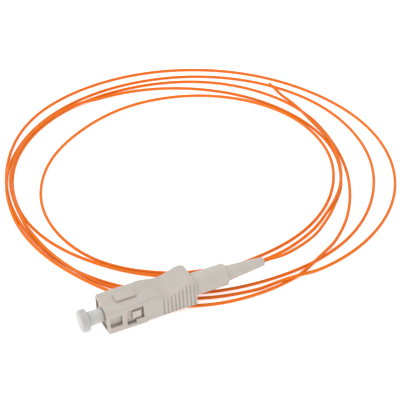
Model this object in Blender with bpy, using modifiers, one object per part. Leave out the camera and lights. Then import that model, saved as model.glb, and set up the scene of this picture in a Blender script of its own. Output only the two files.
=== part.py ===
"""Fibre optic pigtail: a square push-pull connector on a loosely coiled 0.9 mm buffered fibre.

The connector is drawn along its own X axis, from the front face of the grip housing at
x = 0 back to the boot, with the underside of its square front at z = 0. The empty named
connector_axis then tips it nose down, because its rear lies on the coiled fibre, and puts
the origin under its middle.
"""

from math import cos, pi, radians, sin

import bmesh
import bpy
from mathutils import Matrix, Vector

MM = 0.001

# Grip housing: the square front goes into the adapter, and the ribbed rear is held
HOUSING_LENGTH = 25.4 * MM
FRONT_LENGTH = 10.8 * MM
FRONT_WIDTH = 9.0 * MM
FRONT_HEIGHT = 7.4 * MM
MOUTH_WALL = 0.75 * MM
HOUSING_EDGE = 0.35 * MM
STEP_LENGTH = 0.5 * MM
STEP_RISE = 0.3 * MM
SIDE_RAMP_LENGTH = 1.4 * MM
SCOOP_DEPTH = 0.7 * MM
SCOOP_PLACE = 17.5 * MM
RIDGE_RISE = 0.9 * MM
RIDGE_FROM_REAR = 1.6 * MM
REAR_RISE = 0.2 * MM
REAR_WALL = 0.4 * MM
GRIP_WALL = 0.75 * MM
KEY_START = 3.8 * MM
KEY_LENGTH = 5.7 * MM
KEY_WIDTH = 3.2 * MM
KEY_RISE = 0.7 * MM
FRONT_WINDOW_START = 0.7 * MM
FRONT_WINDOW_LENGTH = 3.4 * MM
FRONT_WINDOW_HEIGHT = 3.2 * MM
WINDOW_POST = 1.2 * MM
REAR_WINDOW_LENGTH = 4.8 * MM
REAR_WINDOW_HEIGHT = 4.8 * MM
SILL_LENGTH = 2.2 * MM
SILL_RISE = 1.0 * MM
RIB_START = 15.6 * MM
RIB_PITCH = 1.08 * MM
RIB_GROOVE = 0.45 * MM
RIB_DEPTH = 0.3 * MM
RIB_MARGIN = 0.6 * MM

# Plug frame: the block slides in the housing's mouth, the tail in its waist
FRAME_SETBACK = 0.4 * MM
FRAME_BLOCK_LENGTH = 9.8 * MM
FRAME_TAIL_LENGTH = 9.8 * MM
FRAME_TAIL_WALL = 0.4 * MM
FRAME_TAIL_WIDTH = 5.3 * MM
FRAME_EDGE = 0.3 * MM
FRAME_EDGE_SHARE = 0.8
CATCH_LENGTH = 2.4 * MM
CATCH_RECESS = 0.4 * MM

# Ferrule, its flange and its spring
FERRULE_DIAMETER = 2.5 * MM
FERRULE_LENGTH = 10.5 * MM
FERRULE_REACH = 4.9 * MM
FERRULE_CHAMFER = 0.4 * MM
FLANGE_DIAMETER = 3.2 * MM
FLANGE_LENGTH = 4.6 * MM
FLANGE_GRIP = 2.6 * MM
SPRING_WIRE = 0.35 * MM
SPRING_TURNS = 6

# Crimp body and boot
CRIMP_NOSE_LENGTH = 3.8 * MM
CRIMP_SHOULDER_LENGTH = 1.2 * MM
CRIMP_SLEEVE_DIAMETER = 3.6 * MM
CRIMP_SLEEVE_LENGTH = 9.5 * MM
BOOT_NECK_DIAMETER = 4.6 * MM
BOOT_BASE_DIAMETER = 6.1 * MM
BOOT_BASE_LENGTH = 9.8 * MM
BOOT_TAPER_DIAMETER = 4.4 * MM
BOOT_TIP_DIAMETER = 2.4 * MM
BOOT_TAPER_LENGTH = 11.2 * MM
BOOT_EDGE = 0.4 * MM

# Dust cap
CAP_FLANGE_DIAMETER = 6.2 * MM
CAP_FLANGE_THICKNESS = 2.2 * MM
CAP_NECK_DIAMETER = 3.9 * MM
CAP_END_WALL = 0.9 * MM
CAP_EDGE = 0.5 * MM

# Fibre
FIBRE_DIAMETER = 0.9 * MM
FIBRE_BORE = 1.4 * MM
COIL_LAYERS = 2

# Clearances and travels
GAP = 0.3 * MM
SLIDING_FIT = 0.2 * MM
PRESS_FIT = 0.1 * MM
UNLOCK_TRAVEL = 1.5 * MM
FERRULE_TRAVEL = 0.5 * MM

# Rest: the housing's front edge is on the floor and its rear is on the fibre
NOSE_DOWN = radians(3.2)

# The coil's centre, seen from the housing's front edge, and how far each turn lies from
# it in mm, on spokes 30 degrees apart. A turn runs on into the next one.
COIL_CENTRE = Vector((49.3 * MM, 49.1 * MM, 0.0))
FIRST_SPOKE = 300
SPOKE_STEP = 30
TURN_RADII = (
    (43.0, 41.3, 43.1, 45.2, 48.3, 52.0, 54.8, 54.6, 53.1, 54.6, 54.8, 52.9),
    (54.7, 56.8, 58.1, 58.9, 60.2, 60.8, 60.1, 56.3, 54.1, 53.9, 52.6, 50.2),
    (50.2, 50.7, 52.6, 55.1, 56.3, 56.4, 56.3, 55.6, 55.1, 55.5, 57.9, 53.6),
    (47.6, 43.9, 44.4, 49.2, 52.9, 54.0, 54.7, 54.1, 52.0, 48.2, 45.2, 40.0),
    (38.4, 38.9, 41.3, 44.1, 45.2, 44.7, 43.6, 44.8, 46.5, 46.9, 43.9, 42.0),
    (40.2, 41.1, 43.5, 49.5, 64.5),
)
# The last radius only steers the fibre's end, which is this far past the spoke before it
END_PAST_SPOKE = 12
COIL_OUTLINE_POINTS = 72

# The lead from the boot down onto the coil, in mm from the housing's front edge
LEAD_ROUTE = (
    (51.3, 0.3, 6.1),
    (54.8, 1.7, 5.3),
    (59.3, 4.0, 4.4),
    (63.7, 6.6, 3.6),
    (67.3, 9.2, 2.9),
)

ROUND_STEPS = 32

AXIS_HEIGHT = FRONT_HEIGHT / 2
MOUTH_WIDTH = FRONT_WIDTH - 2 * MOUTH_WALL
MOUTH_HEIGHT = FRONT_HEIGHT - 2 * MOUTH_WALL
FRAME_BLOCK_WIDTH = MOUTH_WIDTH - 2 * GAP
FRAME_BLOCK_HEIGHT = MOUTH_HEIGHT - 2 * GAP
FRAME_BLOCK_END = FRAME_SETBACK + FRAME_BLOCK_LENGTH
FRAME_END = FRAME_BLOCK_END + FRAME_TAIL_LENGTH
MOUTH_END = FRAME_BLOCK_END + GAP
CHAMBER_DIAMETER = FLANGE_DIAMETER + 2 * SLIDING_FIT
FRAME_TAIL_HEIGHT = CHAMBER_DIAMETER + 2 * FRAME_TAIL_WALL
WAIST_WIDTH = FRAME_TAIL_WIDTH + 2 * SLIDING_FIT
WAIST_HEIGHT = FRAME_TAIL_HEIGHT + 2 * GAP
FERRULE_BACK = FERRULE_LENGTH - FERRULE_REACH
FLANGE_START = FERRULE_BACK - FLANGE_GRIP
FLANGE_END = FLANGE_START + FLANGE_LENGTH
CHAMBER_START = FLANGE_START - GAP
CRIMP_NOSE_START = FRAME_END - CRIMP_NOSE_LENGTH
SHOULDER_START = FRAME_END + GAP
SHOULDER_END = SHOULDER_START + CRIMP_SHOULDER_LENGTH
SLEEVE_END = SHOULDER_END + CRIMP_SLEEVE_LENGTH
BOOT_FRONT = SHOULDER_END + GAP
BOOT_BASE_START = HOUSING_LENGTH + PRESS_FIT
BOOT_STEP = BOOT_BASE_START + BOOT_BASE_LENGTH
BOOT_END = BOOT_STEP + BOOT_TAPER_LENGTH
REAR_BORE = BOOT_BASE_DIAMETER + 2 * SLIDING_FIT
REAR_BORE_START = BOOT_BASE_START - UNLOCK_TRAVEL - GAP
GRIP_WIDTH = REAR_BORE + 2 * (GRIP_WALL + RIB_DEPTH)
GRIP_UNDERSIDE = AXIS_HEIGHT - REAR_BORE / 2 - REAR_WALL
REAR_WINDOW_START = FRONT_WINDOW_START + FRONT_WINDOW_LENGTH + WINDOW_POST
REAR_WINDOW_END = REAR_WINDOW_START + REAR_WINDOW_LENGTH
CATCH_START = REAR_WINDOW_START + UNLOCK_TRAVEL + GAP
CATCH_WIDTH = FRONT_WIDTH - 2 * CATCH_RECESS
CATCH_HEIGHT = REAR_WINDOW_HEIGHT - 2 * (SILL_RISE + GAP)
CAP_BORE = FERRULE_DIAMETER + 2 * SLIDING_FIT
CAP_BORE_END = -FERRULE_REACH - GAP
CAP_FRONT = CAP_BORE_END - CAP_END_WALL
CAP_BACK = FRAME_SETBACK - GAP
COIL_HEIGHT = COIL_LAYERS * FIBRE_DIAMETER

HOUSING_BEIGE = (0.58, 0.54, 0.49)
FRAME_BEIGE = (0.56, 0.52, 0.47)
BOOT_BEIGE = (0.57, 0.53, 0.48)
CAP_WHITE = (0.78, 0.77, 0.75)
CERAMIC_WHITE = (0.87, 0.87, 0.84)
NICKEL = (0.62, 0.61, 0.58)
FIBRE_ORANGE = (0.86, 0.16, 0.02)


def clear_scene():
    for found in list(bpy.data.objects):
        bpy.data.objects.remove(found, do_unlink=True)


def collection(name):
    made = bpy.data.collections.new(name)
    bpy.context.scene.collection.children.link(made)
    return made


def material(name, colour, roughness, metallic=0.0):
    made = bpy.data.materials.new(name)
    made.use_nodes = True
    shader = made.node_tree.nodes["Principled BSDF"]
    shader.inputs["Base Color"].default_value = (*colour, 1.0)
    shader.inputs["Roughness"].default_value = roughness
    shader.inputs["Metallic"].default_value = metallic
    return made


def mesh_object(name, mesh, group, surface=None):
    made = bpy.data.objects.new(name, mesh)
    group.objects.link(made)
    if surface:
        mesh.materials.append(surface)
    return made


def box(name, low, high, group, surface=None):
    """A box between two corners in the connector's frame."""
    low, high = Vector(low), Vector(high)
    placed = Matrix.Translation((low + high) / 2) @ Matrix.Diagonal((*(high - low), 1.0))
    shape = bmesh.new()
    bmesh.ops.create_cube(shape, size=1.0, matrix=placed)
    mesh = bpy.data.meshes.new(name)
    shape.to_mesh(mesh)
    shape.free()
    return mesh_object(name, mesh, group, surface)


def axial_box(name, start, end, width, height, group, surface=None):
    """A box centred on the connector's axis."""
    low = (start, -width / 2, AXIS_HEIGHT - height / 2)
    high = (end, width / 2, AXIS_HEIGHT + height / 2)
    return box(name, low, high, group, surface)


def closed_curve(curve, outline):
    spline = curve.splines.new("POLY")
    spline.points.add(len(outline) - 1)
    for point, place in zip(spline.points, outline):
        point.co = (place[0], place[1], 0.0, 1.0)
    spline.use_cyclic_u = True


def extruded(name, outlines, thickness, placement, group, surface=None):
    """Closed outlines filled, extruded both ways from their plane and made one mesh."""
    curve = bpy.data.curves.new(name, "CURVE")
    curve.dimensions = "2D"
    curve.fill_mode = "BOTH"
    curve.extrude = thickness / 2
    for outline in outlines:
        closed_curve(curve, outline)
    drawn = bpy.data.objects.new(name, curve)
    group.objects.link(drawn)
    bpy.context.view_layer.update()
    graph = bpy.context.evaluated_depsgraph_get()
    mesh = bpy.data.meshes.new_from_object(drawn.evaluated_get(graph))
    bpy.data.objects.remove(drawn, do_unlink=True)
    mesh.materials.clear()
    shape = bmesh.new()
    shape.from_mesh(mesh)
    bmesh.ops.remove_doubles(shape, verts=shape.verts, dist=1e-6)
    bmesh.ops.recalc_face_normals(shape, faces=shape.faces)
    shape.to_mesh(mesh)
    shape.free()
    mesh.transform(placement)
    return mesh_object(name, mesh, group, surface)


def turned(name, profile, group, surface=None):
    """A profile of (place along the axis, radius) points turned about the connector's axis.

    A profile that starts and ends on the axis makes a solid, and any other a ring.
    """
    points = [(radius, 0.0, -place) for place, radius in profile]
    edges = [(i, i + 1) for i in range(len(points) - 1)]
    if profile[0][1] > 0:
        edges.append((len(points) - 1, 0))
    mesh = bpy.data.meshes.new(name)
    mesh.from_pydata(points, edges, [])
    made = mesh_object(name, mesh, group, surface)
    screw = made.modifiers.new("turn", "SCREW")
    screw.steps = ROUND_STEPS
    screw.render_steps = ROUND_STEPS
    screw.use_merge_vertices = True
    screw.merge_threshold = 1e-6
    made.rotation_euler = (0.0, -pi / 2, 0.0)
    made.location = (0.0, 0.0, AXIS_HEIGHT)
    return made


def cut(target, other, operation="DIFFERENCE"):
    """Hide the other object and use it on the target."""
    other.hide_render = True
    other.display_type = "WIRE"
    step = target.modifiers.new(other.name, "BOOLEAN")
    step.operation = operation
    step.object = other


def bevel(target, width):
    step = target.modifiers.new("edges", "BEVEL")
    step.width = width
    step.segments = 2
    step.limit_method = "ANGLE"
    step.angle_limit = radians(40)


def ease(start, end, share):
    """From start to end along half a cosine wave."""
    return start + (end - start) * (1 - cos(pi * share)) / 2


def grip_top(x):
    """Height of the grip's top at a place behind the step: scooped, then up to a ridge."""
    step_end = FRONT_LENGTH + STEP_LENGTH
    ridge = HOUSING_LENGTH - RIDGE_FROM_REAR
    low = FRONT_HEIGHT - SCOOP_DEPTH
    if x < SCOOP_PLACE:
        return ease(FRONT_HEIGHT + STEP_RISE, low, (x - step_end) / (SCOOP_PLACE - step_end))
    if x < ridge:
        return ease(low, FRONT_HEIGHT + RIDGE_RISE, (x - SCOOP_PLACE) / (ridge - SCOOP_PLACE))
    return FRONT_HEIGHT + RIDGE_RISE + (REAR_RISE - RIDGE_RISE) * (x - ridge) / RIDGE_FROM_REAR


def side_outline(steps=8):
    """The housing seen from its side, as (x, z) points."""
    step_end = FRONT_LENGTH + STEP_LENGTH
    ridge = HOUSING_LENGTH - RIDGE_FROM_REAR
    places = [step_end + (SCOOP_PLACE - step_end) * i / steps for i in range(steps)]
    places += [SCOOP_PLACE + (ridge - SCOOP_PLACE) * i / steps for i in range(steps + 1)]
    places.append(HOUSING_LENGTH)
    points = [(0.0, 0.0), (FRONT_LENGTH, 0.0), (step_end, GRIP_UNDERSIDE)]
    points.append((HOUSING_LENGTH, GRIP_UNDERSIDE))
    points += [(x, grip_top(x)) for x in reversed(places)]
    points += [(FRONT_LENGTH, FRONT_HEIGHT), (0.0, FRONT_HEIGHT)]
    return points


def plan_outline():
    """The housing seen from above: a wide front, ramps and a narrower grip."""
    ramp_end = FRONT_LENGTH + SIDE_RAMP_LENGTH
    near = [
        (0.0, -FRONT_WIDTH / 2),
        (FRONT_LENGTH, -FRONT_WIDTH / 2),
        (ramp_end, -GRIP_WIDTH / 2),
        (HOUSING_LENGTH, -GRIP_WIDTH / 2),
    ]
    return near + [(x, -y) for x, y in reversed(near)]


def rear_window(placement, cutters):
    """The window at the catch, with a raised sill in its lower rear corner."""
    low, high = AXIS_HEIGHT - REAR_WINDOW_HEIGHT / 2, AXIS_HEIGHT + REAR_WINDOW_HEIGHT / 2
    sill_start, sill_top = REAR_WINDOW_END - SILL_LENGTH, low + SILL_RISE
    outline = [
        (REAR_WINDOW_START, low),
        (sill_start, low),
        (sill_start, sill_top),
        (REAR_WINDOW_END, sill_top),
        (REAR_WINDOW_END, high),
        (REAR_WINDOW_START, high),
    ]
    return extruded("rear_window", [outline], 2 * FRONT_WIDTH, placement, cutters)


def grip_housing(parts, cutters, surface):
    upright = Matrix.Rotation(pi / 2, 4, "X")
    level = Matrix.Translation((0.0, 0.0, AXIS_HEIGHT))
    body = extruded("grip_housing", [side_outline()], 2 * FRONT_WIDTH, upright, parts, surface)
    cut(body, extruded("plan", [plan_outline()], 4 * FRONT_HEIGHT, level, cutters), "INTERSECT")
    bevel(body, HOUSING_EDGE)
    key = box(
        "key",
        (KEY_START, -KEY_WIDTH / 2, FRONT_HEIGHT - MOUTH_WALL / 2),
        (KEY_START + KEY_LENGTH, KEY_WIDTH / 2, FRONT_HEIGHT + KEY_RISE),
        cutters,
    )
    bevel(key, HOUSING_EDGE / 2)
    cut(body, key, "UNION")
    cut(body, axial_box("mouth", -GAP, MOUTH_END, MOUTH_WIDTH, MOUTH_HEIGHT, cutters))
    waist_end = REAR_BORE_START + GAP
    cut(body, axial_box("waist", MOUTH_END - GAP, waist_end, WAIST_WIDTH, WAIST_HEIGHT, cutters))
    bore_profile = (
        (REAR_BORE_START, 0.0),
        (REAR_BORE_START, REAR_BORE / 2),
        (HOUSING_LENGTH + GAP, REAR_BORE / 2),
        (HOUSING_LENGTH + GAP, 0.0),
    )
    cut(body, turned("rear_bore", bore_profile, cutters))
    window_end = FRONT_WINDOW_START + FRONT_WINDOW_LENGTH
    front_window = ("front_window", FRONT_WINDOW_START, window_end, 2 * FRONT_WIDTH, FRONT_WINDOW_HEIGHT)
    cut(body, axial_box(*front_window, cutters))
    cut(body, rear_window(upright, cutters))
    count = int((HOUSING_LENGTH - RIB_START) / RIB_PITCH)
    for index in range(count):
        start = RIB_START + index * RIB_PITCH
        end = start + RIB_GROOVE
        top = min(grip_top(start), grip_top(end)) - RIB_MARGIN
        for side in (-1, 1):
            reach = sorted((side * (GRIP_WIDTH / 2 - RIB_DEPTH), side * FRONT_WIDTH))
            low = (start, reach[0], GRIP_UNDERSIDE + RIB_MARGIN)
            cut(body, box(f"rib_groove_{index}_{side}", low, (end, reach[1], top), cutters))
    return body


def plug_frame(parts, cutters, surface):
    body = axial_box(
        "plug_frame", FRAME_SETBACK, FRAME_BLOCK_END, FRAME_BLOCK_WIDTH, FRAME_BLOCK_HEIGHT, parts, surface
    )
    wall_over_tail = (FRAME_BLOCK_HEIGHT - FRAME_TAIL_HEIGHT) / 2
    bevel(body, min(FRAME_EDGE, FRAME_EDGE_SHARE * wall_over_tail))
    tail_start = FRAME_BLOCK_END - GAP - FRAME_EDGE
    tail = axial_box("tail", tail_start, FRAME_END, FRAME_TAIL_WIDTH, FRAME_TAIL_HEIGHT, cutters)
    cut(body, tail, "UNION")
    catch_end = CATCH_START + CATCH_LENGTH
    catches = axial_box("catches", CATCH_START, catch_end, CATCH_WIDTH, CATCH_HEIGHT, cutters)
    cut(body, catches, "UNION")
    bore_profile = (
        (FRAME_SETBACK - GAP, 0.0),
        (FRAME_SETBACK - GAP, CAP_BORE / 2),
        (CHAMBER_START, CAP_BORE / 2),
        (CHAMBER_START, CHAMBER_DIAMETER / 2),
        (FRAME_END + GAP, CHAMBER_DIAMETER / 2),
        (FRAME_END + GAP, 0.0),
    )
    cut(body, turned("frame_bore", bore_profile, cutters))
    return body


def ferrule(parts, surface):
    radius = FERRULE_DIAMETER / 2
    tip = -FERRULE_REACH
    profile = (
        (tip, 0.0),
        (tip, radius - FERRULE_CHAMFER),
        (tip + FERRULE_CHAMFER, radius),
        (FERRULE_BACK, radius),
        (FERRULE_BACK, 0.0),
    )
    return turned("ferrule", profile, parts, surface)


def ferrule_flange(parts, surface):
    seat, bore = FERRULE_DIAMETER / 2 + PRESS_FIT, FIBRE_BORE / 2
    profile = (
        (FLANGE_START, seat),
        (FLANGE_START, FLANGE_DIAMETER / 2),
        (FLANGE_END, FLANGE_DIAMETER / 2),
        (FLANGE_END, bore),
        (FERRULE_BACK + PRESS_FIT, bore),
        (FERRULE_BACK + PRESS_FIT, seat),
    )
    return turned("ferrule_flange", profile, parts, surface)


def ferrule_spring(parts, surface):
    """The helix between the ferrule's flange and the nose of the crimp body."""
    points_a_turn = 12
    count = SPRING_TURNS * points_a_turn
    radius = FLANGE_DIAMETER / 2 - SPRING_WIRE / 2
    start = FLANGE_END + FERRULE_TRAVEL + PRESS_FIT + SPRING_WIRE / 2
    end = CRIMP_NOSE_START - PRESS_FIT - SPRING_WIRE / 2
    curve = bpy.data.curves.new("ferrule_spring", "CURVE")
    curve.dimensions = "3D"
    curve.bevel_depth = SPRING_WIRE / 2
    curve.bevel_resolution = 1
    curve.use_fill_caps = True
    curve.materials.append(surface)
    spline = curve.splines.new("POLY")
    spline.points.add(count)
    for i, point in enumerate(spline.points):
        angle = 2 * pi * i / points_a_turn
        x = start + (end - start) * i / count
        point.co = (x, radius * cos(angle), AXIS_HEIGHT + radius * sin(angle), 1.0)
    made = bpy.data.objects.new("ferrule_spring", curve)
    parts.objects.link(made)
    return made


def crimp_body(parts, surface):
    """Nose in the plug frame, shoulder behind it, and the sleeve that holds the boot."""
    nose, shoulder = CHAMBER_DIAMETER / 2 - PRESS_FIT, FRAME_TAIL_HEIGHT / 2
    sleeve, bore = CRIMP_SLEEVE_DIAMETER / 2, FIBRE_BORE / 2
    profile = (
        (CRIMP_NOSE_START, bore),
        (CRIMP_NOSE_START, nose),
        (SHOULDER_START, nose),
        (SHOULDER_START, shoulder),
        (SHOULDER_END, shoulder),
        (SHOULDER_END, sleeve),
        (SLEEVE_END, sleeve),
        (SLEEVE_END, bore),
    )
    return turned("crimp_body", profile, parts, surface)


def boot(parts, surface):
    neck, base = BOOT_NECK_DIAMETER / 2, BOOT_BASE_DIAMETER / 2
    socket, bore = CRIMP_SLEEVE_DIAMETER / 2 + PRESS_FIT, FIBRE_BORE / 2
    profile = (
        (BOOT_FRONT, socket),
        (BOOT_FRONT, neck),
        (BOOT_BASE_START, neck),
        (BOOT_BASE_START, base - BOOT_EDGE),
        (BOOT_BASE_START + BOOT_EDGE, base),
        (BOOT_STEP - BOOT_EDGE, base),
        (BOOT_STEP, base - BOOT_EDGE),
        (BOOT_STEP, BOOT_TAPER_DIAMETER / 2),
        (BOOT_END, BOOT_TIP_DIAMETER / 2),
        (BOOT_END, bore),
        (SLEEVE_END + GAP, bore),
        (SLEEVE_END + GAP, socket),
    )
    return turned("boot", profile, parts, surface)


def dust_cap(parts, surface):
    flange, neck, bore = CAP_FLANGE_DIAMETER / 2, CAP_NECK_DIAMETER / 2, CAP_BORE / 2
    flange_back = CAP_FRONT + CAP_FLANGE_THICKNESS
    profile = (
        (CAP_FRONT, 0.0),
        (CAP_FRONT, flange - CAP_EDGE),
        (CAP_FRONT + CAP_EDGE, flange),
        (flange_back - CAP_EDGE, flange),
        (flange_back, flange - CAP_EDGE),
        (flange_back, neck),
        (CAP_BACK, neck),
        (CAP_BACK, bore),
        (CAP_BORE_END, bore),
        (CAP_BORE_END, 0.0),
    )
    return turned("dust_cap", profile, parts, surface)


def smooth(points, place):
    """The Catmull-Rom curve through points, read at a place counted in points."""
    last = len(points) - 1
    i = min(int(place), last - 1)
    t = place - i
    a, b, c, d = (points[min(max(k, 0), last)] for k in (i - 1, i, i + 1, i + 2))
    square = (2 * a - 5 * b + 4 * c - d) * t**2
    cube = (3 * b - a - 3 * c + d) * t**3
    return (2 * b + (c - a) * t + square + cube) / 2


def radii_at(angle):
    """How far from the centre each turn crosses the ray at an angle."""
    radii = [radius * MM for turn in TURN_RADII for radius in turn]
    last_spoke = len(radii[:-1]) - 1
    end = last_spoke + END_PAST_SPOKE / SPOKE_STEP
    place = (angle - FIRST_SPOKE) % 360 / SPOKE_STEP
    spokes_a_turn = 360 // SPOKE_STEP
    found = []
    while place <= end:
        found.append(smooth(radii, place))
        place += spokes_a_turn
    return found


def coil_edge(side):
    """The inner (-1) or outer (1) edge of all turns together."""
    points = []
    for i in range(COIL_OUTLINE_POINTS):
        angle = 360 * i / COIL_OUTLINE_POINTS
        reach = max(side * radius for radius in radii_at(angle)) + FIBRE_DIAMETER / 2
        ray = Vector((cos(radians(angle)), sin(radians(angle))))
        points.append(COIL_CENTRE.to_2d() + ray * side * reach)
    return points


def fibre_coil(parts, cutters, surface, axis):
    """All turns as one flat ring, relieved where the connector lies on it."""
    lift = Vector((axis.location.x, 0.0, COIL_HEIGHT / 2))
    edges = [coil_edge(1), coil_edge(-1)]
    made = extruded("fibre_coil", edges, COIL_HEIGHT, Matrix.Translation(lift), parts, surface)
    half = FRONT_WIDTH / 2 + GAP
    relief = box("relief", (0.0, -half, -GAP), (BOOT_END + GAP, half, FRONT_HEIGHT), cutters)
    relief.parent = axis
    cut(made, relief)
    return made


def fibre_lead(parts, surface, axis, count=16):
    """The stretch that leaves the boot and comes down onto the coil."""
    exits = (BOOT_END + GAP, BOOT_END + GAP + 3 * FIBRE_DIAMETER)
    route = [axis.matrix_world @ Vector((x, 0.0, AXIS_HEIGHT)) for x in exits]
    ground = Vector((axis.location.x, 0.0, 0.0))
    route += [ground + Vector(point) * MM for point in LEAD_ROUTE]
    curve = bpy.data.curves.new("fibre_lead", "CURVE")
    curve.dimensions = "3D"
    curve.bevel_depth = FIBRE_DIAMETER / 2
    curve.bevel_resolution = 2
    curve.use_fill_caps = True
    curve.materials.append(surface)
    spline = curve.splines.new("POLY")
    spline.points.add(count - 1)
    for i, point in enumerate(spline.points):
        point.co = (*smooth(route, (len(route) - 1) * i / (count - 1)), 1.0)
    made = bpy.data.objects.new("fibre_lead", curve)
    parts.objects.link(made)
    return made


def connector_axis(parts):
    """The connector's frame: tipped nose down, with the origin under its middle."""
    cap_edge = AXIS_HEIGHT + CAP_FLANGE_DIAMETER / 2 - CAP_EDGE
    tip_edge = AXIS_HEIGHT - BOOT_TIP_DIAMETER / 2
    front = CAP_FRONT * cos(NOSE_DOWN) - cap_edge * sin(NOSE_DOWN)
    back = BOOT_END * cos(NOSE_DOWN) - tip_edge * sin(NOSE_DOWN)
    made = bpy.data.objects.new("connector_axis", None)
    parts.objects.link(made)
    made.location = (-(front + back) / 2, 0.0, -HOUSING_EDGE * sin(NOSE_DOWN))
    made.rotation_euler = (0.0, -NOSE_DOWN, 0.0)
    return made


def main():
    clear_scene()
    parts = collection("fibre_pigtail")
    cutters = collection("cutters")
    nickel = material("nickel", NICKEL, 0.3, 1.0)
    orange = material("fibre_orange", FIBRE_ORANGE, 0.4)

    grip_housing(parts, cutters, material("housing_beige", HOUSING_BEIGE, 0.45))
    plug_frame(parts, cutters, material("frame_beige", FRAME_BEIGE, 0.5))
    ferrule(parts, material("ceramic_white", CERAMIC_WHITE, 0.2))
    ferrule_flange(parts, nickel)
    ferrule_spring(parts, nickel)
    crimp_body(parts, nickel)
    boot(parts, material("boot_beige", BOOT_BEIGE, 0.6))
    dust_cap(parts, material("cap_white", CAP_WHITE, 0.4))

    on_connector = list(parts.objects) + list(cutters.objects)
    axis = connector_axis(parts)
    for piece in on_connector:
        piece.parent = axis
    bpy.context.view_layer.update()
    fibre_coil(parts, cutters, orange, axis)
    fibre_lead(parts, orange, axis)


main()
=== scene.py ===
"""The looks of a fibre optic pigtail: a push-pull connector on a loose coil of buffered fibre.

Every piece is drawn in the connector's frame, along its X axis from the front face of the
grip housing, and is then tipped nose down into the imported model's frame.
"""

from math import cos, pi, radians, sin

import bmesh
import bpy
import numpy as np
from mathutils import Matrix, Vector


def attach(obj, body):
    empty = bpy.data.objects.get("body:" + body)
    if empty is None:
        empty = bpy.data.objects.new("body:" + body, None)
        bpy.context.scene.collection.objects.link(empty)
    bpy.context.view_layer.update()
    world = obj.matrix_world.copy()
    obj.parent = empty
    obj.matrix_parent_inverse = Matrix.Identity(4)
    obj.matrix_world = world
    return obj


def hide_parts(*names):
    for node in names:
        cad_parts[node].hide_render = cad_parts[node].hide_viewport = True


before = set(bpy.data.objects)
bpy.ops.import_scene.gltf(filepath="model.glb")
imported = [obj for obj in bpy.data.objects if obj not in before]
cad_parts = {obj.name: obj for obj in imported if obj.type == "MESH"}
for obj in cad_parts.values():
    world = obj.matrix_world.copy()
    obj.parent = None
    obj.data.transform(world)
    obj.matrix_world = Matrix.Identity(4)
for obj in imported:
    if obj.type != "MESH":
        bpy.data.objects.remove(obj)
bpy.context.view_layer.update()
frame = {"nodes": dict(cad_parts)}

bl_info = {
    "name": "Fibre optic pigtail",
    "version": (1, 0, 0),
    "blender": (4, 5, 0),
    "location": "View3D > Sidebar > Pigtail",
    "description": "Builds a push-pull connector with its boot, dust cap and coiled fibre",
    "category": "Add Mesh",
}

MM = 0.001

# Grip housing
HOUSING_LENGTH = 25.4 * MM
FRONT_LENGTH = 10.8 * MM
FRONT_WIDTH = 9.0 * MM
FRONT_HEIGHT = 7.4 * MM
MOUTH_WALL = 0.75 * MM
STEP_LENGTH = 0.5 * MM
STEP_RISE = 0.3 * MM
SIDE_RAMP_LENGTH = 1.4 * MM
SCOOP_DEPTH = 0.7 * MM
SCOOP_PLACE = 17.5 * MM
RIDGE_RISE = 0.9 * MM
RIDGE_FROM_REAR = 1.6 * MM
REAR_RISE = 0.2 * MM
GRIP_WIDTH = 8.6 * MM
# A little above the solid's, to clear the fibre that passes beneath
GRIP_UNDERSIDE = 0.2 * MM
REAR_BORE = 6.5 * MM
REAR_BORE_START = 23.7 * MM
KEY_START = 3.8 * MM
KEY_LENGTH = 5.7 * MM
KEY_WIDTH = 3.2 * MM
KEY_RISE = 0.7 * MM
FRONT_WINDOW = (0.7 * MM, 3.4 * MM, 3.2 * MM)
REAR_WINDOW = (5.3 * MM, 4.8 * MM, 4.8 * MM)
SILL_LENGTH = 2.2 * MM
SILL_RISE = 1.0 * MM
MOUTH_END = 10.5 * MM
WAIST_WIDTH = 5.7 * MM
WAIST_HEIGHT = 5.0 * MM
RIB_START = 15.6 * MM
RIB_PITCH = 1.08 * MM
RIB_GROOVE = 0.45 * MM
RIB_MARGIN = 0.6 * MM
RIB_COUNT = 9
GAP = 0.3 * MM
WINDOW_CORNER = 0.25 * MM
MOUTH_CORNER = 0.2 * MM
RIB_CORNER = 0.12 * MM

# Boot, dust cap and the axis that they share with the ferrule
AXIS_HEIGHT = FRONT_HEIGHT / 2
BOOT_FRONT = 21.8 * MM
BOOT_BASE_START = 25.5 * MM
BOOT_STEP = 35.3 * MM
BOOT_END = 46.5 * MM
BOOT_NECK_RADIUS = 2.3 * MM
BOOT_BASE_RADIUS = 3.05 * MM
BOOT_TAPER_RADIUS = 2.2 * MM
BOOT_TIP_RADIUS = 1.2 * MM
BOOT_BORE_RADIUS = 0.7 * MM
BOOT_BORE_END = 31.6 * MM
BOOT_SOCKET_RADIUS = 1.9 * MM
CAP_FRONT = -6.1 * MM
CAP_BORE_END = -5.2 * MM
CAP_BACK = 0.1 * MM
CAP_FLANGE_RADIUS = 3.1 * MM
CAP_FLANGE_THICKNESS = 2.2 * MM
CAP_NECK_RADIUS = 1.95 * MM
CAP_BORE_RADIUS = 1.45 * MM
CAP_EDGE = 0.5 * MM
# The share of its radius at which each closed end of the cap begins
CAP_END_SHARE = 0.2
HOUSING_EDGE = 0.35 * MM

# How the connector lies: nose down, with its rear on the fibre and the origin under its middle
NOSE_DOWN = radians(3.2)

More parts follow.
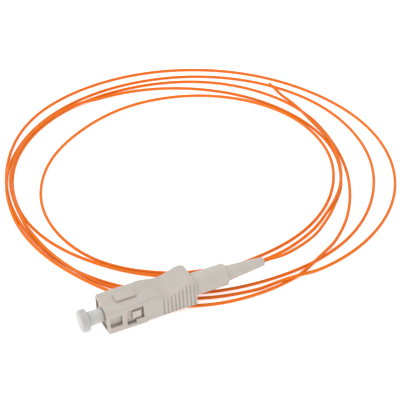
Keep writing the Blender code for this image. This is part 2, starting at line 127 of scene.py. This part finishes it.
# The fibre, as the part's source lays it: radii in mm on spokes 30 degrees apart
COIL_CENTRE = Vector((49.3 * MM, 49.1 * MM, 0.0))
FIRST_SPOKE = 300
SPOKE_STEP = 30
TURN_RADII = (
    (43.0, 41.3, 43.1, 45.2, 48.3, 52.0, 54.8, 54.6, 53.1, 54.6, 54.8, 52.9),
    (54.7, 56.8, 58.1, 58.9, 60.2, 60.8, 60.1, 56.3, 54.1, 53.9, 52.6, 50.2),
    (50.2, 50.7, 52.6, 55.1, 56.3, 56.4, 56.3, 55.6, 55.1, 55.5, 57.9, 53.6),
    (47.6, 43.9, 44.4, 49.2, 52.9, 54.0, 54.7, 54.1, 52.0, 48.2, 45.2, 40.0),
    (38.4, 38.9, 41.3, 44.1, 45.2, 44.7, 43.6, 44.8, 46.5, 46.9, 43.9, 42.0),
    (40.2, 41.1, 43.5, 49.5, 64.5),
)
END_PAST_SPOKE = 12
LEAD_ROUTE = (
    (51.3, 0.3, 6.1),
    (54.8, 1.7, 5.3),
    (59.3, 4.0, 4.4),
    (63.7, 6.6, 3.6),
    (67.3, 9.2, 2.9),
)
# From the lead down to the first turn, which it joins at this angle
LANDING_ROUTE = (
    (71.1, 12.6, 2.2),
    (75.5, 17.0, 1.5),
    (80.8, 23.0, 0.8),
)
LANDING_ANGLE = 330
# Which turn lies on which, from the floor up
TURNS_FROM_BELOW = (1, 2, 3, 4, 0, 5)
# How far the fibre is drawn inside the boot and straight out of it, and its points apart
LEAD_INSIDE = 3 * MM
LEAD_STRAIGHT = 2.5 * MM
FIBRE_SPACING = 1.0 * MM
FIBRE_SHEEN = 0.2

# Surface of the plastics: mottle, uneven gloss, grain, and how far light travels in
MOTTLE_SCALE = 260.0
MOTTLE_BAND = (0.3, 0.7)
GLOSS_SPREAD = 0.07
GRAIN_DEPTH = 0.02 * MM
LIGHT_REACH = 1.0 * MM

# Studio
FLOOR_SIZE = 6.0
KEY_PLACE = (-0.25, 0.15, 0.75)
KEY_SIZE = 0.6
CAMERA_PLACE = (-137.19 * MM, -320.64 * MM, 287.08 * MM)
CAMERA_TURN = (radians(54.055), 0.0, radians(-24.33))
CAMERA_LENS = 154.02
CAMERA_SENSOR = 36.0
CAMERA_CLIP = (0.01, 20.0)

# Points closer than this count as one
NEAR = 1e-6


def connector_matrix():
    """Where the connector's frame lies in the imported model's frame."""
    cap_edge = AXIS_HEIGHT + CAP_FLANGE_RADIUS - CAP_EDGE
    tip_edge = AXIS_HEIGHT - BOOT_TIP_RADIUS
    front = CAP_FRONT * cos(NOSE_DOWN) - cap_edge * sin(NOSE_DOWN)
    back = BOOT_END * cos(NOSE_DOWN) - tip_edge * sin(NOSE_DOWN)
    place = Vector((-(front + back) / 2, 0.0, -HOUSING_EDGE * sin(NOSE_DOWN)))
    return Matrix.Translation(place) @ Matrix.Rotation(-NOSE_DOWN, 4, "Y")


CONNECTOR = connector_matrix()
GROUND = Vector((CONNECTOR.translation.x, 0.0, 0.0))


def length(text, name, default):
    return bpy.props.FloatProperty(
        name=name, description=text, default=default, min=0.0, precision=5, unit="LENGTH"
    )


def colour(text, name, default):
    return bpy.props.FloatVectorProperty(
        name=name, description=text, default=default, size=3, min=0.0, max=1.0, subtype="COLOR"
    )


class PIGTAIL_PG_connector(bpy.types.PropertyGroup):
    edge: length("Rounding of the grip housing's outer edges", "Housing edge", 0.6 * MM)
    step_edge: length("Rounding of the step behind the front section", "Step edge", 0.12 * MM)
    key_edge: length("Rounding of the key on the top face", "Key edge", 0.25 * MM)
    mould_edge: length("Rounding of the windows, ribs and mouth", "Moulded edge", 0.06 * MM)
    mouth_lip: length("How far the mouth's edge comes in over the frame", "Mouth lip", 0.1 * MM)
    rib_depth: length("Depth of the grooves between the ribs", "Rib depth", 0.25 * MM)
    boot_edge: length("Rounding of the boot's base", "Boot edge", 0.45 * MM)
    cap_edge: length("Rounding of the dust cap's flange", "Cap edge", 0.7 * MM)


class PIGTAIL_PG_fibre(bpy.types.PropertyGroup):
    diameter: length("Diameter over the fibre's buffer", "Buffer", 0.9 * MM)
    hump: length("How far a turn takes to rise over another", "Hump", 9.0 * MM)


class PIGTAIL_PG_finish(bpy.types.PropertyGroup):
    housing: colour("Moulded plastic of the grip housing", "Housing", (0.45, 0.41, 0.37))
    frame: colour("Moulded plastic of the plug frame", "Plug frame", (0.50, 0.455, 0.41))
    boot: colour("Soft plastic of the boot", "Boot", (0.47, 0.432, 0.39))
    cap: colour("Translucent plastic of the dust cap", "Dust cap", (0.50, 0.49, 0.475))
    ceramic: colour("Polished ceramic of the ferrule", "Ferrule", (0.87, 0.87, 0.84))
    nickel: colour("Plated metal of the inner parts", "Nickel", (0.62, 0.61, 0.58))
    fibre: colour("Buffer of the fibre", "Fibre", (0.72, 0.145, 0.0))


class PIGTAIL_PG_studio(bpy.types.PropertyGroup):
    floor: colour("Floor under the pigtail", "Floor", (0.93, 0.93, 0.93))
    floor_glow: bpy.props.FloatProperty(
        name="Floor glow", description="Light from below, as on a light table", default=0.5, min=0.0
    )
    sky: bpy.props.FloatProperty(
        name="Sky", description="Strength of the even light from all around", default=0.9, min=0.0
    )
    key_power: bpy.props.FloatProperty(
        name="Key light", description="Power of the large soft lamp", default=2.8, min=0.0
    )


def start_mode(wanted):
    active = bpy.context.view_layer.objects.active
    if active and active.mode != wanted:
        bpy.ops.object.mode_set(mode=wanted)


def deselect():
    start_mode("OBJECT")
    bpy.ops.object.select_all(action="DESELECT")


def name_new(name):
    made = bpy.context.active_object
    made.name = name
    made.data.name = name
    return made


def pick(made):
    deselect()
    made.select_set(True)
    bpy.context.view_layer.objects.active = made


def select_points(made, wanted):
    """In edit mode, selects the points at which wanted(place) is true."""
    shape = bmesh.from_edit_mesh(made.data)
    for vert in shape.verts:
        vert.select_set(bool(wanted(vert.co)))
    shape.select_flush(True)
    bmesh.update_edit_mesh(made.data)


def box(name, low, high):
    """A cube primitive stretched between two corners."""
    low, high = Vector(low), Vector(high)
    deselect()
    bpy.ops.mesh.primitive_cube_add(size=1.0, location=(low + high) / 2)
    made = name_new(name)
    made.scale = high - low
    bpy.ops.object.transform_apply(location=True, rotation=True, scale=True)
    return made


def axial_box(name, start, end, width, height):
    low = (start, -width / 2, AXIS_HEIGHT - height / 2)
    return box(name, low, (end, width / 2, AXIS_HEIGHT + height / 2))


def round_edges(made, width, segments=3, angle=40, clamp=True):
    """Rounds every edge sharper than the angle."""
    pick(made)
    step = made.modifiers.new("rounded", "BEVEL")
    step.width = width
    step.segments = segments
    step.limit_method = "ANGLE"
    step.angle_limit = radians(angle)
    step.use_clamp_overlap = clamp
    bpy.ops.object.modifier_apply(modifier=step.name)


def combine(made, other, operation):
    pick(made)
    step = made.modifiers.new(other.name, "BOOLEAN")
    step.operation = operation
    step.object = other
    bpy.ops.object.modifier_apply(modifier=step.name)
    bpy.data.objects.remove(other, do_unlink=True)


def tidy_mesh(made):
    """Merges doubled points and turns every face outwards."""
    pick(made)
    start_mode("EDIT")
    bpy.ops.mesh.select_all(action="SELECT")
    bpy.ops.mesh.remove_doubles(threshold=NEAR)
    bpy.ops.mesh.normals_make_consistent(inside=False)
    start_mode("OBJECT")


def place_on_connector(made, angle=35):
    """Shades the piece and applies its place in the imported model's frame."""
    pick(made)
    bpy.ops.object.shade_smooth_by_angle(angle=radians(angle))
    made.matrix_world = CONNECTOR
    bpy.ops.object.transform_apply(location=True, rotation=True, scale=True)


def rounded(profile, radius, steps=4):
    """The profile with each corner that isn't an end replaced by a small curve."""
    points = [Vector(point) for point in profile]
    made = [points[0]]
    for before, corner, after in zip(points, points[1:], points[2:]):
        reach = min(radius, (corner - before).length / 2, (after - corner).length / 2)
        first = corner + (before - corner).normalized() * reach
        last = corner + (after - corner).normalized() * reach
        for i in range(steps + 1):
            share = i / steps
            low = first.lerp(corner, share)
            made.append(low.lerp(corner.lerp(last, share), share))
    made.append(points[-1])
    return made


def turned(name, profile, sides=64):
    """A disc drawn out along the connector's axis, through (place, radius) rings."""
    deselect()
    start, radius = profile[0]
    bpy.ops.mesh.primitive_circle_add(
        vertices=sides,
        radius=radius,
        fill_type="NGON",
        location=(start, 0.0, AXIS_HEIGHT),
        rotation=(0.0, pi / 2, 0.0),
    )
    made = name_new(name)
    bpy.ops.object.transform_apply(location=True, rotation=True, scale=True)
    start_mode("EDIT")
    bpy.ops.mesh.select_all(action="SELECT")
    for place, wanted in profile[1:]:
        bpy.ops.mesh.extrude_region_move(
            TRANSFORM_OT_translate={"value": (place - start, 0.0, 0.0)}
        )
        share = wanted / radius
        bpy.ops.transform.resize(
            value=(1.0, share, share), center_override=(place, 0.0, AXIS_HEIGHT)
        )
        start, radius = place, wanted
    start_mode("OBJECT")
    tidy_mesh(made)
    return made


def ease(start, end, share):
    """From start to end along half a cosine wave."""
    return start + (end - start) * (1 - cos(pi * share)) / 2


def grip_top(x):
    """Height of the grip's top behind the step: scooped, then up to a ridge."""
    step_end = FRONT_LENGTH + STEP_LENGTH
    ridge = HOUSING_LENGTH - RIDGE_FROM_REAR
    low = FRONT_HEIGHT - SCOOP_DEPTH
    if x < SCOOP_PLACE:
        return ease(FRONT_HEIGHT + STEP_RISE, low, (x - step_end) / (SCOOP_PLACE - step_end))
    if x < ridge:
        return ease(low, FRONT_HEIGHT + RIDGE_RISE, (x - SCOOP_PLACE) / (ridge - SCOOP_PLACE))
    return FRONT_HEIGHT + RIDGE_RISE + (REAR_RISE - RIDGE_RISE) * (x - ridge) / RIDGE_FROM_REAR


def move_station(made, x, top, bottom, width):
    """Moves the ring of points at one place along the housing to its own section."""
    sections = (
        (FRONT_HEIGHT, lambda co: co.z > AXIS_HEIGHT, top),
        (0.0, lambda co: co.z < AXIS_HEIGHT, bottom),
    )
    for before, side, after in sections:
        select_points(made, lambda co: abs(co.x - x) < NEAR and side(co))
        bpy.ops.transform.translate(value=(0.0, 0.0, after - before))
    select_points(made, lambda co: abs(co.x - x) < NEAR)
    bpy.ops.transform.resize(value=(1.0, width / FRONT_WIDTH, 1.0), center_override=(x, 0.0, 0.0))


def housing_block(steps=12):
    """A box bisected along its length, and each section moved to the housing's outline."""
    far_corner = (HOUSING_LENGTH, FRONT_WIDTH / 2, FRONT_HEIGHT)
    made = box("grip_housing_shell", (0.0, -FRONT_WIDTH / 2, 0.0), far_corner)
    step_end = FRONT_LENGTH + STEP_LENGTH
    ramp_end = FRONT_LENGTH + SIDE_RAMP_LENGTH
    ridge = HOUSING_LENGTH - RIDGE_FROM_REAR
    places = [step_end + (SCOOP_PLACE - step_end) * i / steps for i in range(steps)]
    places += [SCOOP_PLACE + (ridge - SCOOP_PLACE) * i / steps for i in range(steps + 1)]
    places.append(ramp_end)
    start_mode("EDIT")
    for x in [FRONT_LENGTH, *places]:
        bpy.ops.mesh.select_all(action="SELECT")
        bpy.ops.mesh.bisect(plane_co=(x, 0.0, 0.0), plane_no=(1.0, 0.0, 0.0))
    for x in [*places, HOUSING_LENGTH]:
        share = min(1.0, (x - FRONT_LENGTH) / SIDE_RAMP_LENGTH)
        width = FRONT_WIDTH + (GRIP_WIDTH - FRONT_WIDTH) * share
        move_station(made, x, grip_top(x), GRIP_UNDERSIDE, width)
    start_mode("OBJECT")
    return made


def window_cutter(name, place):
    start, span, height = place
    made = axial_box(name, start, start + span, 2 * FRONT_WIDTH, height)
    pick(made)
    start_mode("EDIT")
    bpy.ops.mesh.select_mode(type="EDGE")
    shape = bmesh.from_edit_mesh(made.data)
    for edge in shape.edges:
        along = edge.verts[0].co - edge.verts[1].co
        edge.select_set(abs(along.y) > abs(along.x) + abs(along.z))
    bmesh.update_edit_mesh(made.data)
    bpy.ops.mesh.bevel(offset=WINDOW_CORNER, segments=4)
    bpy.ops.mesh.select_mode(type="VERT")
    start_mode("OBJECT")
    return made


def rear_window_cutter():
    """The window at the catch, with a raised sill in its lower rear corner."""
    start, span, height = REAR_WINDOW
    end, low = start + span, AXIS_HEIGHT - height / 2
    made = window_cutter("rear_window", REAR_WINDOW)
    corner = (end - SILL_LENGTH, -2 * FRONT_WIDTH, low - GAP)
    sill = box("sill", corner, (end + GAP, 2 * FRONT_WIDTH, low + SILL_RISE))
    combine(made, sill, "DIFFERENCE")
    return made


def rib_cutter(index, side, depth):
    start = RIB_START + index * RIB_PITCH
    end = start + RIB_GROOVE
    top = min(grip_top(start), grip_top(end)) - RIB_MARGIN
    reach = sorted((side * (GRIP_WIDTH / 2 - depth), side * FRONT_WIDTH))
    made = box("rib_groove", (start, reach[0], GRIP_UNDERSIDE + RIB_MARGIN), (end, reach[1], top))
    round_edges(made, RIB_CORNER, segments=2)
    return made


def plastic(name, base, roughness, grain, bump, mottle=0.06, subsurface=0.0, metallic=0.0):
    """Moulded plastic: a faint mottle in its colour, uneven gloss and a fine grain."""
    made = bpy.data.materials.new(name)
    made.use_nodes = True
    nodes, links = made.node_tree.nodes, made.node_tree.links
    shader = nodes["Principled BSDF"]
    shader.inputs["Metallic"].default_value = metallic
    shader.inputs["Subsurface Weight"].default_value = subsurface
    shader.inputs["Subsurface Scale"].default_value = LIGHT_REACH
    place = nodes.new("ShaderNodeTexCoord")

    cloud = nodes.new("ShaderNodeTexNoise")
    cloud.inputs["Scale"].default_value = MOTTLE_SCALE
    cloud.inputs["Detail"].default_value = 3.0
    links.new(place.outputs["Object"], cloud.inputs["Vector"])
    tint = nodes.new("ShaderNodeValToRGB")
    tint.color_ramp.elements[0].position = MOTTLE_BAND[0]
    tint.color_ramp.elements[1].position = MOTTLE_BAND[1]
    tint.color_ramp.elements[0].color = (*(v * (1 - mottle) for v in base), 1.0)
    tint.color_ramp.elements[1].color = (*(min(1.0, v * (1 + mottle)) for v in base), 1.0)
    links.new(cloud.outputs["Fac"], tint.inputs["Fac"])
    links.new(tint.outputs["Color"], shader.inputs["Base Color"])

    gloss = nodes.new("ShaderNodeMapRange")
    gloss.inputs["To Min"].default_value = roughness - GLOSS_SPREAD
    gloss.inputs["To Max"].default_value = roughness + GLOSS_SPREAD
    links.new(cloud.outputs["Fac"], gloss.inputs["Value"])
    links.new(gloss.outputs["Result"], shader.inputs["Roughness"])

    fine = nodes.new("ShaderNodeTexNoise")
    fine.inputs["Scale"].default_value = grain
    fine.inputs["Detail"].default_value = 4.0
    links.new(place.outputs["Object"], fine.inputs["Vector"])
    relief = nodes.new("ShaderNodeBump")
    relief.inputs["Strength"].default_value = bump
    relief.inputs["Distance"].default_value = GRAIN_DEPTH
    links.new(fine.outputs["Fac"], relief.inputs["Height"])
    links.new(relief.outputs["Normal"], shader.inputs["Normal"])
    return made


def paint_light_and_shade_along(surface, start, first, reach, last):
    """Scales the colour from first to last over a reach along X, as painted light and shade: darker
    where the part takes the most light, lighter where it lies in its own shade.
    """
    nodes, links = surface.node_tree.nodes, surface.node_tree.links
    base = nodes["Principled BSDF"].inputs["Base Color"]
    place = nodes.new("ShaderNodeTexCoord")
    split = nodes.new("ShaderNodeSeparateXYZ")
    links.new(place.outputs["Object"], split.inputs["Vector"])
    share = nodes.new("ShaderNodeMapRange")
    share.inputs["From Min"].default_value = start.x
    share.inputs["From Max"].default_value = start.x + reach
    share.inputs["To Min"].default_value = first
    share.inputs["To Max"].default_value = last
    links.new(split.outputs["X"], share.inputs["Value"])
    scaled = nodes.new("ShaderNodeVectorMath")
    scaled.operation = "SCALE"
    links.new(base.links[0].from_socket, scaled.inputs["Vector"])
    links.new(share.outputs["Result"], scaled.inputs["Scale"])
    links.new(scaled.outputs["Vector"], base)


def dress(made, surface):
    made.data.materials.clear()
    made.data.materials.append(surface)


def smooth(points, place):
    """The Catmull-Rom curve through points, read at a place counted in points."""
    last = len(points) - 1
    i = min(int(place), last - 1)
    t = place - i
    a, b, c, d = (points[min(max(k, 0), last)] for k in (i - 1, i, i + 1, i + 2))
    square = (2 * a - 5 * b + 4 * c - d) * t**2
    cube = (3 * b - a - 3 * c + d) * t**3
    return (2 * b + (c - a) * t + square + cube) / 2


def coil_points(height, step=10):
    """The turns as they lie on the floor, as (place, turn) pairs, a few degrees apart."""
    radii = [radius * MM for turn in TURN_RADII for radius in turn]
    span = (len(radii) - 2) * SPOKE_STEP + END_PAST_SPOKE
    runs = [*range(LANDING_ANGLE - FIRST_SPOKE, span, step), span]
    found = []
    for run in runs:
        ray = radians(FIRST_SPOKE + run)
        reach = smooth(radii, run / SPOKE_STEP)
        place = COIL_CENTRE + Vector((reach * cos(ray), reach * sin(ray), height))
        found.append((GROUND + place, run // 360))
    return found


def lead_points():
    """Out of the boot along its axis, then down to the first turn."""
    inside = (BOOT_END - LEAD_INSIDE, BOOT_END, BOOT_END + LEAD_STRAIGHT)
    route = [(CONNECTOR @ Vector((x, 0.0, AXIS_HEIGHT)), -1) for x in inside]
    route += [(GROUND + Vector(point) * MM, -1) for point in LEAD_ROUTE]
    return route + [(GROUND + Vector(point) * MM, 0) for point in LANDING_ROUTE]


def even_points(points, spacing, steps=12):
    """Points a fixed distance apart along the smooth curve, with their turn."""
    dense, turns = [], []
    for i in range(len(points) - 1):
        for k in range(steps):
            dense.append(smooth([p for p, _ in points], i + k / steps))
            turns.append(points[i][1])
    dense.append(points[-1][0])
    turns.append(points[-1][1])
    places = np.array(dense)
    run = np.concatenate(([0.0], np.cumsum(np.linalg.norm(np.diff(places, axis=0), axis=1))))
    count = int(run[-1] / spacing)
    wanted = np.linspace(0.0, run[-1], count + 1)
    even = np.stack([np.interp(wanted, run, places[:, k]) for k in range(3)], axis=1)
    nearest = np.searchsorted(run, wanted).clip(0, len(turns) - 1)
    return even, np.array(turns)[nearest], wanted


def lay_heights(places, turns, run, diameter, hump, passes=6, soften=9):
    """Heights at which the fibre lies on the floor, or in a long low hump over other turns."""
    floor = diameter / 2
    down = np.maximum(floor, places[:, 2])
    rank = {turn: order for order, turn in enumerate(TURNS_FROM_BELOW)}
    level = np.array([rank[max(0, turn)] for turn in turns])
    flat = places[:, :2]
    apart = np.linalg.norm(flat[:, None, :] - flat[None, :, :], axis=2)
    along = np.abs(run[:, None] - run[None, :])
    near = (apart < diameter) & (along > 6 * diameter) & (level[:, None] > level[None, :])
    rise = np.sqrt(np.maximum(0.0, diameter**2 - apart**2))
    fall = diameter * (1 - np.cos(pi * np.minimum(1.0, along / hump))) / 2
    fall = np.where(along < hump, fall, np.inf)
    heights = down.copy()
    for _ in range(passes):
        needed = np.where(near, heights[None, :] + rise, floor).max(axis=1)
        heights = np.maximum(down, (needed[None, :] - fall).max(axis=1))
    kernel = np.hanning(soften)
    padded = np.pad(heights, soften // 2, mode="edge")
    soft = np.convolve(padded, kernel / kernel.sum(), mode="valid")
    return np.where(turns < 0, places[:, 2], soft)


def fibre_route(diameter, hump):
    points = lead_points() + coil_points(diameter / 2)
    places, turns, run = even_points(points, FIBRE_SPACING)
    places[:, 2] = lay_heights(places, turns, run, diameter, hump)
    return places


class PIGTAIL_OT_fibre(bpy.types.Operator):
    """Lay the buffered fibre from the boot round its loose coil to its bare end"""

    bl_idname = "pigtail.fibre"
    bl_label = "Fibre"

    def execute(self, context):
        sizes = context.scene.pigtail_fibre
        places = fibre_route(sizes.diameter, sizes.hump)
        curve = bpy.data.curves.new("buffered_fibre", "CURVE")
        curve.dimensions = "3D"
        curve.bevel_depth = sizes.diameter / 2
        curve.bevel_resolution = 4
        curve.use_fill_caps = True
        spline = curve.splines.new("POLY")
        spline.points.add(len(places) - 1)
        for point, place in zip(spline.points, places):
            point.co = (*place, 1.0)
        spline.use_smooth = True
        made = bpy.data.objects.new("buffered_fibre", curve)
        context.scene.collection.objects.link(made)
        colours = context.scene.pigtail_finish
        buffer = plastic(
            "fibre_buffer", colours.fibre, roughness=0.42, grain=2600.0, bump=0.25, mottle=0.05
        )
        gloss = buffer.node_tree.nodes["Principled BSDF"].inputs["Specular IOR Level"]
        gloss.default_value = FIBRE_SHEEN
        dress(made, buffer)
        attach(made, "plug")
        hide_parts("fibre_coil", "fibre_lead")
        return {"FINISHED"}


class PIGTAIL_OT_housing(bpy.types.Operator):
    """Model the grip housing with its key, windows, mouth and ribs"""

    bl_idname = "pigtail.housing"
    bl_label = "Grip housing"

    def execute(self, context):
        sizes = context.scene.pigtail_connector
        made = housing_block()
        round_edges(made, sizes.edge, segments=4, angle=60, clamp=False)
        round_edges(made, sizes.step_edge, segments=2, angle=25)
        key_low = (KEY_START, -KEY_WIDTH / 2, FRONT_HEIGHT - MOUTH_WALL / 2)
        key_high = (KEY_START + KEY_LENGTH, KEY_WIDTH / 2, FRONT_HEIGHT + KEY_RISE)
        key = box("key", key_low, key_high)
        round_edges(key, sizes.key_edge, segments=4)
        combine(made, key, "UNION")
        lip = MOUTH_WALL + sizes.mouth_lip
        mouth_size = (FRONT_WIDTH - 2 * lip, FRONT_HEIGHT - 2 * lip)
        mouth = axial_box("mouth", -GAP, MOUTH_END, *mouth_size)
        round_edges(mouth, MOUTH_CORNER, segments=2)
        combine(made, mouth, "DIFFERENCE")
        waist_end = REAR_BORE_START + GAP
        waist = axial_box("waist", MOUTH_END - GAP, waist_end, WAIST_WIDTH, WAIST_HEIGHT)
        combine(made, waist, "DIFFERENCE")
        bore = ((REAR_BORE_START, REAR_BORE / 2), (HOUSING_LENGTH + GAP, REAR_BORE / 2))
        combine(made, turned("rear_bore", bore), "DIFFERENCE")
        combine(made, window_cutter("front_window", FRONT_WINDOW), "DIFFERENCE")
        combine(made, rear_window_cutter(), "DIFFERENCE")
        for index in range(RIB_COUNT):
            for side in (-1, 1):
                combine(made, rib_cutter(index, side, sizes.rib_depth), "DIFFERENCE")
        tidy_mesh(made)
        round_edges(made, sizes.mould_edge, segments=2, angle=50)
        tidy_mesh(made)
        place_on_connector(made)
        colours = context.scene.pigtail_finish
        surface = plastic(
            "housing_plastic",
            colours.housing,
            roughness=0.46,
            grain=5200.0,
            bump=0.3,
            mottle=0.03,
            subsurface=0.35,
        )
        dress(made, surface)
        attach(made, "grip")
        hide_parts("grip_housing")
        return {"FINISHED"}


class PIGTAIL_OT_boot(bpy.types.Operator):
    """Model the boot with its thick base and its taper to the fibre"""

    bl_idname = "pigtail.boot"
    bl_label = "Boot"

    def execute(self, context):
        sizes = context.scene.pigtail_connector
        corners = (
            (BOOT_FRONT, BOOT_SOCKET_RADIUS),
            (BOOT_FRONT, BOOT_NECK_RADIUS),
            (BOOT_BASE_START, BOOT_NECK_RADIUS),
            (BOOT_BASE_START, BOOT_BASE_RADIUS),
            (BOOT_STEP, BOOT_BASE_RADIUS),
            (BOOT_STEP, BOOT_TAPER_RADIUS),
            (BOOT_END, BOOT_TIP_RADIUS),
            (BOOT_END, BOOT_BORE_RADIUS),
            (BOOT_BORE_END, BOOT_BORE_RADIUS),
        )
        made = turned("tapered_boot", rounded(corners, sizes.boot_edge))
        place_on_connector(made)
        colours = context.scene.pigtail_finish
        surface = plastic(
            "boot_rubber", colours.boot, roughness=0.56, grain=4200.0, bump=0.4, mottle=0.04
        )
        dress(made, surface)
        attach(made, "plug")
        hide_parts("boot")
        return {"FINISHED"}


class PIGTAIL_OT_dust_cap(bpy.types.Operator):
    """Model the translucent dust cap over the ferrule"""

    bl_idname = "pigtail.dust_cap"
    bl_label = "Dust cap"

    def execute(self, context):
        sizes = context.scene.pigtail_connector
        flange_back = CAP_FRONT + CAP_FLANGE_THICKNESS
        corners = (
            (CAP_FRONT, CAP_END_SHARE * CAP_FLANGE_RADIUS),
            (CAP_FRONT, CAP_FLANGE_RADIUS),
            (flange_back, CAP_FLANGE_RADIUS),
            (flange_back, CAP_NECK_RADIUS),
            (CAP_BACK, CAP_NECK_RADIUS),
            (CAP_BACK, CAP_BORE_RADIUS),
            (CAP_BORE_END, CAP_BORE_RADIUS),
            (CAP_BORE_END, CAP_END_SHARE * CAP_BORE_RADIUS),
        )
        made = turned("flanged_dust_cap", rounded(corners, sizes.cap_edge))
        place_on_connector(made)
        colours = context.scene.pigtail_finish
        surface = plastic(
            "cap_plastic",
            colours.cap,
            roughness=0.38,
            grain=3000.0,
            bump=0.15,
            mottle=0.02,
            subsurface=0.5,
        )
        front = CONNECTOR @ Vector((CAP_FRONT, 0.0, 0.0))
        # Painted shade on the flange, which faces the light, and painted light on the neck, which
        # lies in its own shade
        paint_light_and_shade_along(surface, front, first=0.84, reach=5 * MM, last=1.12)
        dress(made, surface)
        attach(made, "cap")
        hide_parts("dust_cap")
        return {"FINISHED"}


class PIGTAIL_OT_inner_parts(bpy.types.Operator):
    """Finish the plug frame, ferrule, flange, spring and crimp body"""

    bl_idname = "pigtail.inner_parts"
    bl_label = "Inner parts"

    def execute(self, context):
        colours = context.scene.pigtail_finish
        nickel = plastic(
            "nickel_plate",
            colours.nickel,
            roughness=0.28,
            grain=6000.0,
            bump=0.1,
            mottle=0.03,
            metallic=1.0,
        )
        ceramic = plastic(
            "ferrule_ceramic", colours.ceramic, roughness=0.16, grain=8000.0, bump=0.05, mottle=0.01
        )
        moulded = plastic(
            "frame_plastic",
            colours.frame,
            roughness=0.44,
            grain=5200.0,
            bump=0.25,
            mottle=0.03,
            subsurface=0.35,
        )
        finishes = {
            "plug_frame": moulded,
            "ferrule": ceramic,
            "ferrule_flange": nickel,
            "ferrule_spring": nickel,
            "crimp_body": nickel,
        }
        for node, surface in finishes.items():
            dress(frame["nodes"][node], surface)
        return {"FINISHED"}


class PIGTAIL_OT_studio(bpy.types.Operator):
    """Set the pale floor, the soft light and the camera"""

    bl_idname = "pigtail.studio"
    bl_label = "Studio"

    def execute(self, context):
        studio = context.scene.pigtail_studio
        deselect()
        bpy.ops.mesh.primitive_plane_add(size=FLOOR_SIZE, location=(0.0, 0.0, 0.0))
        floor = name_new("studio_floor")
        surface = plastic(
            "pale_floor", studio.floor, roughness=0.8, grain=300.0, bump=0.0, mottle=0.004
        )
        glow = surface.node_tree.nodes["Principled BSDF"].inputs
        glow["Emission Color"].default_value = (1.0, 1.0, 1.0, 1.0)
        glow["Emission Strength"].default_value = studio.floor_glow
        dress(floor, surface)

        world = bpy.data.worlds.new("studio_sky")
        world.use_nodes = True
        sky = world.node_tree.nodes["Background"]
        sky.inputs["Color"].default_value = (1.0, 1.0, 1.0, 1.0)
        sky.inputs["Strength"].default_value = studio.sky
        context.scene.world = world
        context.scene.view_settings.view_transform = "Standard"

        deselect()
        bpy.ops.object.light_add(type="AREA", location=KEY_PLACE)
        key = name_new("soft_key")
        key.data.shape = "DISK"
        key.data.size = KEY_SIZE
        key.data.energy = studio.key_power
        aim = Vector((0.0, 0.0, 0.0)) - key.location
        key.rotation_euler = aim.to_track_quat("-Z", "Y").to_euler()

        bpy.ops.object.camera_add(location=CAMERA_PLACE, rotation=CAMERA_TURN)
        camera = name_new("product_camera")
        camera.data.lens = CAMERA_LENS
        camera.data.sensor_width = CAMERA_SENSOR
        camera.data.clip_start, camera.data.clip_end = CAMERA_CLIP
        context.scene.camera = camera
        return {"FINISHED"}


class PIGTAIL_PT_panel(bpy.types.Panel):
    """Sizes, colours and build steps of the pigtail"""

    bl_idname = "PIGTAIL_PT_panel"
    bl_label = "Fibre optic pigtail"
    bl_space_type = "VIEW_3D"
    bl_region_type = "UI"
    bl_category = "Pigtail"

    def draw(self, context):
        for group in ("connector", "fibre", "finish", "studio"):
            section = self.layout.box()
            settings = getattr(context.scene, f"pigtail_{group}")
            for name in settings.bl_rna.properties.keys():
                if name not in ("rna_type", "name"):
                    section.prop(settings, name)
        for step in STEPS:
            self.layout.operator(step.bl_idname)


GROUPS = {
    "pigtail_connector": PIGTAIL_PG_connector,
    "pigtail_fibre": PIGTAIL_PG_fibre,
    "pigtail_finish": PIGTAIL_PG_finish,
    "pigtail_studio": PIGTAIL_PG_studio,
}
STEPS = (
    PIGTAIL_OT_studio,
    PIGTAIL_OT_fibre,
    PIGTAIL_OT_housing,
    PIGTAIL_OT_boot,
    PIGTAIL_OT_dust_cap,
    PIGTAIL_OT_inner_parts,
)


def register():
    for made in (*GROUPS.values(), *STEPS, PIGTAIL_PT_panel):
        bpy.utils.register_class(made)
    for name, group in GROUPS.items():
        setattr(bpy.types.Scene, name, bpy.props.PointerProperty(type=group))


def unregister():
    for name in GROUPS:
        delattr(bpy.types.Scene, name)
    for made in (PIGTAIL_PT_panel, *reversed(STEPS), *reversed(GROUPS.values())):
        bpy.utils.unregister_class(made)


def main():
    register()
    bpy.ops.pigtail.studio()
    bpy.ops.pigtail.fibre()
    bpy.ops.pigtail.housing()
    bpy.ops.pigtail.boot()
    bpy.ops.pigtail.dust_cap()
    bpy.ops.pigtail.inner_parts()


if __name__ == "__main__":
    main()
